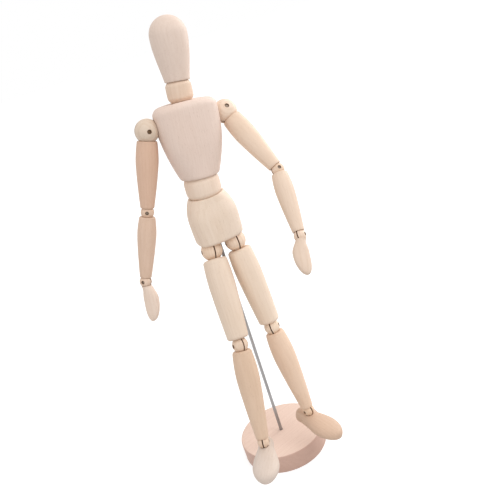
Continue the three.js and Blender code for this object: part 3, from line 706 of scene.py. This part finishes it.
# The top falls away towards the shoulders as the square of the distance from the middle.
crownRise = easeInOut((chestRings[..., 2] - chest["crownStart"]) / (chest["height"] - chest["crownStart"]))
chestRings[..., 2] -= chest["crown"] * (chestRings[..., 0] / chest["halfWidth"]) ** 2 * crownRise
chestPiece = addSkin("chestBlock", chestRings, chestPlace)
crossEnd = shoulders["span"] - shoulders["radius"]
crossFrom, crossTo = ((reach, 0, shoulders["height"]) for reach in (-crossEnd, crossEnd))
chestCutters = [
    ballCutter(waistCup, (0, 0, -waist["height"] / 2), chestPlace),
    ballCutter(neckCup, (0, 0, chest["height"] + neck["height"] / 2), chestPlace),
    uprightBore(trunkBore, (0, 0), 3, chest["lowerBoreTop"], chestPlace),
    uprightBore(trunkBore, (0, 0), chest["upperBoreFloor"], 49, chestPlace),
    barCutter(chest["crossBore"], crossFrom, crossTo, chestPlace),
]
for side in (-1, 1):
    centre = (side * shoulders["span"], 0, shoulders["height"])
    chestCutters.append(ballCutter(shoulders["radius"] + fit, centre, chestPlace))
carve(chestPiece, chestCutters)
chestWood = makeWood(
    "chestBlockWood", "pale_wood", chestPlace, trunkTints["chest"], ends=(0, 60, 3.5), pores=0.4
)
finishPiece(chestPiece, "chest", ["chest"], chestWood)

neckPiece = addSkin("neckBarrel", seatBarrel(neck), neckPlace, bored=True)
neckWood = makeWood("neckBarrelWood", "limb_wood", neckPlace, trunkTints["neck"], ends=(-6.4, 6.4, 2))
finishPiece(neckPiece, "neck", ["neck"], neckWood)

# The head is an egg on a taper: the lower radius swells as a sine, the crown is half an oval.
half = neck["height"] / 2
share = np.concatenate([[0, 0.006, 0.014], np.linspace(0.03, 0.97, 34)])
corner = np.array([0.3, 0.08, 0.0] + [0.0] * 34)
jawRadius = blend(head["bottom"], head["radius"], swell(share, 1.2)) - corner
jaw = np.stack([jawRadius, half + share * head["widest"]], axis=-1)
crown = arcPoints(1.0, math.pi / 2, 0.03, 36) * [head["radius"], head["length"] - head["widest"]]
headPiece = addSkin("headEgg", turnedRings(np.vstack([jaw, crown + [0, half + head["widest"]]])), headPlace)
headCutters = [
    ballCutter(neckCup, (0, 0, 0), headPlace),
    uprightBore(trunkBore, (0, 0), 8, head["boreTop"], headPlace),
]
carve(headPiece, headCutters)
headWood = makeWood("headEggWood", "pale_wood", headPlace, trunkTints["head"], ends=(6, 60, 3), pores=0.4)
finishPiece(headPiece, "head", ["head"], headWood)
print("trunk, neck and head made")

# Limbs. A ball is given by its radius, how far the seat planes stand off its centre, and its pin.
shoulder = {"radius": 8.0, "seat": 6.2, "pin": 1.1}
elbow = {"radius": 4.4, "seat": 2.9, "pin": 0.85}
wrist = {"radius": 4.1, "seat": 3.0, "pin": 0.85}
hip = {"radius": 7.4, "seat": 6.4, "pin": 1.1}
knee = {"radius": 5.5, "seat": 4.0, "pin": 1.1}
ankle = {"radius": 4.2, "seat": 2.7, "pin": 0.85}
saw = {"cut": 0.86, "web": 1.6}  # the solids' cut is 1 mm wide, and its lips hide a little of that

upperArm = {"length": 52.5, "top": 6.5, "belly": 7.4, "end": 4.5, "edge": 0.7, "endEdge": 0.4, "bore": 1.7}
forearm = {"length": 47.0, "top": 5.2, "belly": 6.3, "end": 3.9, "edge": 0.8, "endEdge": 0.3, "bore": 1.7}
thigh = {"length": 67.0, "top": 8.3, "belly": 9.2, "end": 7.3, "edge": 1.9, "endEdge": 1.8, "bore": 2.2}
shank = {"length": 68.6, "top": 6.5, "belly": 8.0, "end": 4.3, "edge": 1.5, "endEdge": 0.4, "bore": 2.2}
bellyShare = 0.3


# A turned limb: its radius falls from the belly as a square upwards and as a power of 1.35 downwards, with
# quarter-round edges, a cup at each end and a bore through it.
def limbRings(shape, upper, lower):
    upperCup, lowerCup = upper["radius"] + fit, lower["radius"] + fit
    top, end = -upper["seat"], -(shape["length"] - lower["seat"])
    edge, endEdge = shape["edge"], shape["endEdge"]
    height = ringHeights(end, top, endEdge, edge, 50)
    share = (top - height) / (top - end)
    above = np.clip(1 - share / bellyShare, 0, 1) ** 2
    below = np.clip((share - bellyShare) / (1 - bellyShare), 0, 1) ** 1.35
    radius = blend(shape["belly"], shape["top"], above) + (shape["end"] - shape["belly"]) * below
    radius = radius - edgeInset(endEdge, height - end) - edgeInset(edge, top - height)
    lowerRim, lowerBore = math.acos(lower["seat"] / lowerCup), math.asin(shape["bore"] / lowerCup)
    upperRim, upperBore = math.acos(upper["seat"] / upperCup), math.asin(shape["bore"] / upperCup)
    profile = [
        arcPoints(lowerCup, lowerBore, lowerRim, 10, -shape["length"]),
        np.stack([radius, height], axis=-1),
        arcPoints(upperCup, math.pi - upperRim, math.pi - upperBore, 10),
    ]
    return turnedRings(np.vstack(profile))


# A piece of a side takes its name from its node: right_upper_arm gives rightUpperArm.
def pieceName(node):
    first, *others = node.split("_")
    return first + "".join(word.title() for word in others)


def addLimb(node, shape, upper, lower, place, tint):
    name = pieceName(node)
    piece = addSkin(name, limbRings(shape, upper, lower), place, bored=True)
    ends = (-(shape["length"] - lower["seat"]), -upper["seat"], 2.5)
    wood = makeWood(name + "Wood", "limb_wood", place, tint, ends=ends)
    finishPiece(piece, node, [node], wood)


# A ball with a saw cut. pinFrame has X along the pin and the cut opening towards -Y.
def addBall(node, ball, pinFrame, fibres, tint):
    name = pieceName(node)
    radius, holeRadius = ball["radius"], ball["pin"] + fit
    past = radius + 1
    piece = addSkin(name, turnedRings(arcPoints(radius, math.pi - poleGap, poleGap, 48), 72), fibres)
    half = saw["cut"] / 2
    webStart = radius - saw["web"]
    cutters = [
        blockCutter((-half, -past, -past), (half, webStart, past), pinFrame),
        barCutter(holeRadius, (-past, 0, 0), (past, 0, 0), pinFrame),
    ]
    carve(piece, cutters)
    shadedCut = {"place": pinFrame, "cut": saw["cut"], "web": webStart, "hole": holeRadius}
    wood = makeWood(name + "Wood", "limb_wood", fibres, tint, ball=shadedCut, rings=0.45)
    finishPiece(piece, node, [node], wood)


# A mitten whose width and thickness ease from the wrist's round to a flat blade and close as an oval at the
# tip. Its middle line leans to the thumb side as a sine. The last three are shares of the length.
hand = {
    "length": 27.8,
    "halfWidth": 5.33,
    "root": 3.45,
    "thickness": 5.8,
    "thumbShift": 1.6,
    "screw": 0.7,
    "screwLength": 8.0,
    "wideFrom": 0.36,
    "thickFrom": 0.5,
    "closesFrom": 0.4,
}


def handRings(inward):
    top, tip = -wrist["seat"], -hand["length"]
    share = np.concatenate([[1, 0.9995, 0.998, 0.995], np.linspace(0.99, 0, 60)])

    def section(z):
        along = np.clip((top - z) / (top - tip), 0, 1)
        closing = rounding((along - hand["closesFrom"]) / (1 - hand["closesFrom"]), 2.3)
        width = blend(hand["root"], hand["halfWidth"], easeInOut(along / hand["wideFrom"]))
        thick = blend(hand["root"], hand["thickness"] / 2, easeInOut(along / hand["thickFrom"]))
        return {
            "halfWidth": np.maximum(width * closing, 0.1),
            "halfDepth": np.maximum(thick * closing**0.6, 0.1),
            "power": 2 + 0.5 * easeInOut(along / 0.4),
            "shiftX": inward * hand["thumbShift"] * np.sin(np.pi * along**0.75),
            "shiftY": 0.0,
        }

    return carvedRings(top + (tip - top) * share, section, 80)


# A shoe-last foot: width eases from heel to toe, height falls to the toe, and both close as ovals at the
# ends. The last four are shares of the length.
foot = {
    "toe": 28.39,
    "heel": 12.4,
    "halfWidth": 9.2,
    "heelHalfWidth": 5.1,
    "heelHeight": 9.4,
    "toeHeight": 7.2,
    "screw": 0.7,
    "screwLength": 3.4,
    "heelShare": 0.12,
    "fallFrom": 0.34,
    "ease": 0.56,
    "closesFrom": 0.66,
}


def footRings():
    length = foot["heel"] + foot["toe"]
    curve = (1 - np.cos(np.linspace(0, np.pi, 70))) / 2

    def section(z):
        along = np.clip(z / length, 0, 1)
        heelEnd = rounding((foot["heelShare"] - along) / foot["heelShare"], 2.4)
        toeEnd = rounding((along - foot["closesFrom"]) / (1 - foot["closesFrom"]))
        ends = np.maximum(heelEnd * toeEnd, 0.02)
        widening = easeInOut((along - foot["heelShare"]) / foot["ease"])
        falling = easeInOut((along - foot["fallFrom"]) / foot["ease"])
        width = blend(foot["heelHalfWidth"], foot["halfWidth"], widening)
        height = blend(foot["heelHeight"], foot["toeHeight"], falling)
        above = height * np.maximum(ends, 0.1) ** 0.5
        return {
            "halfWidth": width * ends,
            "halfDepth": above * 0.62,
            "power": 2.2,
            "shiftX": 0.0,
            "shiftY": above * 0.38,
        }

    rings = carvedRings(curve * length, section, 96)
    return np.stack([rings[..., 0], foot["heel"] - rings[..., 2], rings[..., 1]], axis=-1)


# The hole for a screw eye under a cup.
def screwCutter(ball, length, radius, place):
    threadTop = ball["radius"] + fit + screwGap
    return barCutter(radius + fit, (0, 0, -(threadTop + length + fit)), (0, 0, -ball["seat"]), place)


def turnedFrame(place, degrees):
    turn = np.eye(4)
    turn[:3, :3] = np.array(Matrix.Rotation(math.radians(degrees), 3, "Z"))
    return place @ turn


# side is -1 on the figure's right. The angles turn the hand and foot from the piece above, in degrees, and
# the tints multiply the colours of the wood, piece by piece: partly each piece's own tone, partly painted
# light and shade, lighter where a piece was lit and darker where it lay in shade.
sides = {
    "right": {
        "side": -1,
        "handBend": 14.5,
        "handTurn": 0.0,
        "footDrop": 17.6,
        "tints": {
            "shoulder_ball": (0.88, 0.91, 0.95),
            "upper_arm": (0.84, 0.72, 0.69),
            "elbow_ball": (0.92, 0.86, 0.86),
            "forearm": (0.87, 0.80, 0.80),
            "wrist_ball": (0.95, 0.92, 0.95),
            "hand": (1.0, 1.03, 1.13),
            "hip_ball": (1.02, 1.0, 1.0),
            "thigh": (0.96, 0.99, 1.04),
            "knee_ball": (0.95, 0.93, 0.94),
            "shank": (0.87, 0.81, 0.78),
            "ankle_ball": (0.95, 0.92, 0.93),
            "foot": (0.80, 0.85, 0.96),
        },
    },
    "left": {
        "side": 1,
        "handBend": 16.5,
        "handTurn": -55.0,
        "footDrop": 18.0,
        "tints": {
            "shoulder_ball": (1.03, 1.04, 1.08),
            "upper_arm": (0.98, 0.96, 0.97),
            "elbow_ball": (0.96, 0.94, 0.95),
            "forearm": (0.94, 0.93, 0.95),
            "wrist_ball": (0.98, 0.97, 1.0),
            "hand": (0.87, 0.87, 0.91),
            "hip_ball": (1.09, 1.10, 1.14),
            "thigh": (1.06, 1.10, 1.16),
            "knee_ball": (1.09, 1.12, 1.16),
            "shank": (0.97, 0.91, 0.89),
            "ankle_ball": (0.96, 0.89, 0.84),
            "foot": (0.76, 0.68, 0.65),
        },
    },
}


def addArm(name, stance):
    side, tints = stance["side"], stance["tints"]
    shoulderAt, elbowAt, wristAt = (pointOf(f"{name}_{joint}") for joint in armJoints)
    armPin, elbowPin, wristPin = (axisOf(f"{name}_{joint}") for joint in armJoints)
    upperArmUp, forearmUp = axisOf(f"{name}_elbow_twist"), axisOf(f"{name}_wrist_twist")
    handUp = turnAbout(wristPin, side * stance["handBend"], forearmUp)
    upperArmPlace = placeFrom(shoulderAt, y=armPin, z=upperArmUp)
    forearmPlace = placeFrom(elbowAt, y=elbowPin, z=forearmUp)
    handPlace = placeFrom(wristAt, y=wristPin, z=handUp)
    shoulderPlace = placeFrom(shoulderAt, x=chestAcross, y=armPin)
    elbowPlace = placeFrom(elbowAt, y=elbowPin, z=upperArmUp)
    wristPlace = placeFrom(wristAt, y=wristPin, z=forearmUp)

    # The shoulder's cut opens downwards, the elbow's and the wrist's towards the trunk.
    shoulderCut = placeFrom(shoulderAt, x=armPin, y=shoulderPlace[:3, 2])
    elbowCut = turnedFrame(elbowPlace, -90 * side)
    wristCut = turnedFrame(wristPlace, -90 * side)
    addBall(f"{name}_shoulder_ball", shoulder, shoulderCut, shoulderPlace, tints["shoulder_ball"])
    addLimb(f"{name}_upper_arm", upperArm, shoulder, elbow, upperArmPlace, tints["upper_arm"])
    addBall(f"{name}_elbow_ball", elbow, elbowCut, elbowPlace, tints["elbow_ball"])
    addLimb(f"{name}_forearm", forearm, elbow, wrist, forearmPlace, tints["forearm"])
    addBall(f"{name}_wrist_ball", wrist, wristCut, wristPlace, tints["wrist_ball"])

    bladePlace = turnedFrame(handPlace, stance["handTurn"])
    piece = addSkin(f"{name}Hand", handRings(-side), bladePlace)
    cutters = [
        ballCutter(wrist["radius"] + fit, (0, 0, 0), handPlace),
        screwCutter(wrist, hand["screwLength"], hand["screw"], handPlace),
    ]
    carve(piece, cutters)
    wood = makeWood(f"{name}HandWood", "limb_wood", bladePlace, tints["hand"], ends=(-60, -2.5, 2))
    finishPiece(piece, f"{name}_hand", [f"{name}_hand"], wood)


def addLeg(name, stance):
    tints = stance["tints"]
    hipAt, kneeAt, ankleAt = (pointOf(f"{name}_{joint}") for joint in legJoints)
    hipPin = axisOf(f"{name}_thigh_swing", stance["side"])
    kneePin, anklePin = axisOf(f"{name}_knee_bend"), axisOf(f"{name}_foot_bend")
    hipUp, shankUp = axisOf(f"{name}_hip_twist"), axisOf(f"{name}_ankle_twist")
    thighUp = axisOf(f"{name}_knee_twist", -stance["side"])
    footUp = turnAbout(anklePin, stance["footDrop"], shankUp)
    hipPlace = placeFrom(hipAt, x=hipPin, z=hipUp)
    thighPlace = placeFrom(hipAt, x=hipPin, z=thighUp)
    kneePlace = placeFrom(kneeAt, x=kneePin, z=thighUp)
    shankPlace = placeFrom(kneeAt, x=kneePin, z=shankUp)
    anklePlace = placeFrom(ankleAt, x=anklePin, z=shankUp)
    footPlace = placeFrom(ankleAt, x=anklePin, z=footUp)

    addBall(f"{name}_hip_ball", hip, hipPlace, hipPlace, tints["hip_ball"])
    addLimb(f"{name}_thigh", thigh, hip, knee, thighPlace, tints["thigh"])
    addBall(f"{name}_knee_ball", knee, kneePlace, kneePlace, tints["knee_ball"])
    addLimb(f"{name}_shank", shank, knee, ankle, shankPlace, tints["shank"])
    addBall(f"{name}_ankle_ball", ankle, anklePlace, anklePlace, tints["ankle_ball"])

    solePlace = moved(footPlace, (0, 0, -(ankle["seat"] + foot["heelHeight"])))
    piece = addSkin(f"{name}Foot", footRings(), solePlace)
    cutters = [
        blockCutter((-30, -60, -20), (30, 60, 0), solePlace),  # everything under the sole
        ballCutter(ankle["radius"] + fit, (0, 0, 0), footPlace),
        screwCutter(ankle, foot["screwLength"], foot["screw"], footPlace),
    ]
    carve(piece, cutters)
    fibres = placeFrom(ankleAt, x=footPlace[:3, 0], z=-footPlace[:3, 1])
    wood = makeWood(f"{name}FootWood", "limb_wood", fibres, tints["foot"], rings=0.18, pores=0.4)
    finishPiece(piece, f"{name}_foot", [f"{name}_foot"], wood)


armJoints = ("arm_spread", "elbow_bend", "wrist_bend")
legJoints = ("thigh_swing", "knee_bend", "foot_bend")
for name, stance in sides.items():
    addArm(name, stance)
    addLeg(name, stance)
    print(name, "limbs made")

# The pins and wires are the solids themselves in better steel; the right shoulder's pin gets painted shade.
innerSteel = {"_pin": pinSteel, "_spring": wireSteel, "_eye": wireSteel, "_link": wireSteel}
for nodeName, node in frame["nodes"].items():
    for ending, metal in innerSteel.items():
        if nodeName.endswith(ending):
            node.data.materials.clear()
            node.data.materials.append(shadePinSteel if nodeName == "right_shoulder_pin" else metal)

# Floor, light and camera
floorMesh = bpy.data.meshes.new("paleFloor")
floorMesh.from_pydata([(-6, -6, 0), (6, -6, 0), (6, 6, 0), (-6, 6, 0)], [], [(0, 1, 2, 3)])
floor = bpy.data.objects.new("paleFloor", floorMesh)
scene.collection.objects.link(floor)
studio = {"key": 5.2, "fill": 0.9, "rim": 6.0, "sky": 0.87, "floorGlow": 0.62, "target": (0, 0, 0.17)}


# 1 where a surface is seen, also in a reflection or through glass, and 0 where it only lights the object.
def seenRays(tree):
    path = tree.nodes.new("ShaderNodeLightPath").outputs
    seen = mathNode(tree, "MAXIMUM", path["Is Camera Ray"], path["Is Glossy Ray"])
    return mathNode(tree, "MAXIMUM", seen, path["Is Transmission Ray"])


floorPaint = bpy.data.materials.new("floorPaint")
floorPaint.use_nodes = True
paint = floorPaint.node_tree
paint.nodes.clear()
strength = mathNode(paint, "MULTIPLY", seenRays(paint), studio["floorGlow"])
glow = addNode(paint, "ShaderNodeEmission", {"Color": (1, 1, 1, 1), "Strength": strength})
matte = addNode(paint, "ShaderNodeBsdfDiffuse", {"Color": (0.55, 0.55, 0.55, 1)})
both = addNode(paint, "ShaderNodeAddShader", {0: glow.outputs[0], 1: matte.outputs[0]})
addNode(paint, "ShaderNodeOutputMaterial", {"Surface": both.outputs[0]})
floorMesh.materials.append(floorPaint)

world = bpy.data.worlds.new("studioSky")
scene.world = world
world.use_nodes = True
sky = world.node_tree
sky.nodes.clear()
strength = mathNode(sky, "MULTIPLY_ADD", seenRays(sky), 1 - studio["sky"], studio["sky"])
background = addNode(sky, "ShaderNodeBackground", {"Color": (1, 1, 1, 1), "Strength": strength})
addNode(sky, "ShaderNodeOutputWorld", {"Surface": background.outputs[0]})


def addLamp(name, at, size, power):
    lamp = bpy.data.lights.new(name, "AREA")
    lamp.shape = "DISK"
    lamp.size = size
    lamp.energy = power
    lampObject = bpy.data.objects.new(name, lamp)
    back = np.array(at) - np.array(studio["target"])
    side = np.cross([0.0, 0.0, 1.0], back)
    place = placeFrom(np.array(at) * 1000, x=side / np.linalg.norm(side), z=back / np.linalg.norm(back))
    place[:3, 3] /= 1000
    lampObject.matrix_world = Matrix(place.tolist())
    scene.collection.objects.link(lampObject)


addLamp("keyLamp", (0.5, -0.75, 1.15), 1.1, studio["key"])
addLamp("fillLamp", (-0.9, -0.6, 0.5), 0.8, studio["fill"])
addLamp("rimLamp", (1.0, 0.3, 0.55), 0.8, studio["rim"])

# The focal length is in pixels of an image 500 wide.
lens = {
    "at": (-112.2, -415.4, 331.6),
    "yaw": -17.6,
    "pitch": -21.1,
    "roll": 17.4,
    "focal": 658.2,
    "imageWidth": 500,
}
camera = bpy.data.cameras.new("photoCamera")
camera.sensor_width = 36
camera.lens = lens["focal"] * camera.sensor_width / lens["imageWidth"]
camera.clip_start = 0.01
cameraObject = bpy.data.objects.new("photoCamera", camera)
scene.collection.objects.link(cameraObject)
turn = (
    Matrix.Rotation(math.radians(lens["yaw"]), 4, "Z")
    @ Matrix.Rotation(math.radians(lens["pitch"]), 4, "X")
    @ Matrix.Rotation(math.radians(lens["roll"]), 4, "Y")
    @ Matrix.Rotation(math.radians(90), 4, "X")
)
cameraObject.matrix_world = Matrix.Translation([value / 1000 for value in lens["at"]]) @ turn
scene.camera = cameraObject
scene.view_settings.view_transform = "Standard"
print("floor, light and camera ready")
